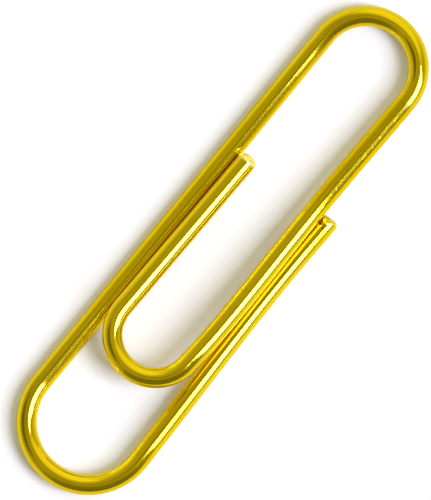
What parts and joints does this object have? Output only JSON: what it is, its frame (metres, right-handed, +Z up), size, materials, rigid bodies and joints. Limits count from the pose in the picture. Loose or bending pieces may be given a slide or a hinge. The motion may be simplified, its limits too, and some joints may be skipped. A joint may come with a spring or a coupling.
{
  "type": "paper clip",
  "caption": "Wire paper clip in glossy gold-yellow wire; its inner loop springs up from the outer loop to grip sheets of paper.",
  "frame": {"origin": "on the table, under the middle of the clip's length and width", "axes": "+X along the clip to its top bend, +Y across it to the back leg, +Z up from the table"},
  "size_m": [0.0292, 0.0072, 0.0022],
  "materials": {
    "gold_wire": "transparent gold-yellow gloss lacquer over bright hard-drawn steel wire"
  },
  "bodies": {
    "outer_loop": {"top_bend_back_half": "gold_wire", "back_leg": "gold_wire", "outer_bend_back_half": "gold_wire"},
    "outer_tail": {"outer_bend_tail_half": "gold_wire", "outer_tail": "gold_wire"},
    "inner_loop": {"top_bend_front_half": "gold_wire", "front_leg": "gold_wire", "inner_bend_front_half": "gold_wire"},
    "inner_tail": {"inner_bend_tail_half": "gold_wire", "inner_tail": "gold_wire"}
  },
  "joints": [
    {"name": "inner_loop_lift", "type": "hinge", "parent": "outer_loop", "child": "inner_loop", "pos_m": [0.0141, 0.00051, 0.00066], "axis": [0, 0.9985, -0.0539], "range_deg": [0, 8], "stiffness_Nm_per_rad": 0.47},
    {"name": "outer_tail_flex", "type": "hinge", "parent": "outer_tail", "child": "outer_loop", "pos_m": [-0.0141, 0, 0.00068], "axis": [0, -0.9985, 0.0539], "range_deg": [0, 5], "stiffness_Nm_per_rad": 0.66},
    {"name": "inner_tail_flex", "type": "hinge", "parent": "inner_loop", "child": "inner_tail", "pos_m": [-0.00765, 0.00021, 0.0016], "axis": [0, -0.9985, 0.0539], "range_deg": [0, 4], "stiffness_Nm_per_rad": 1}
  ]
}
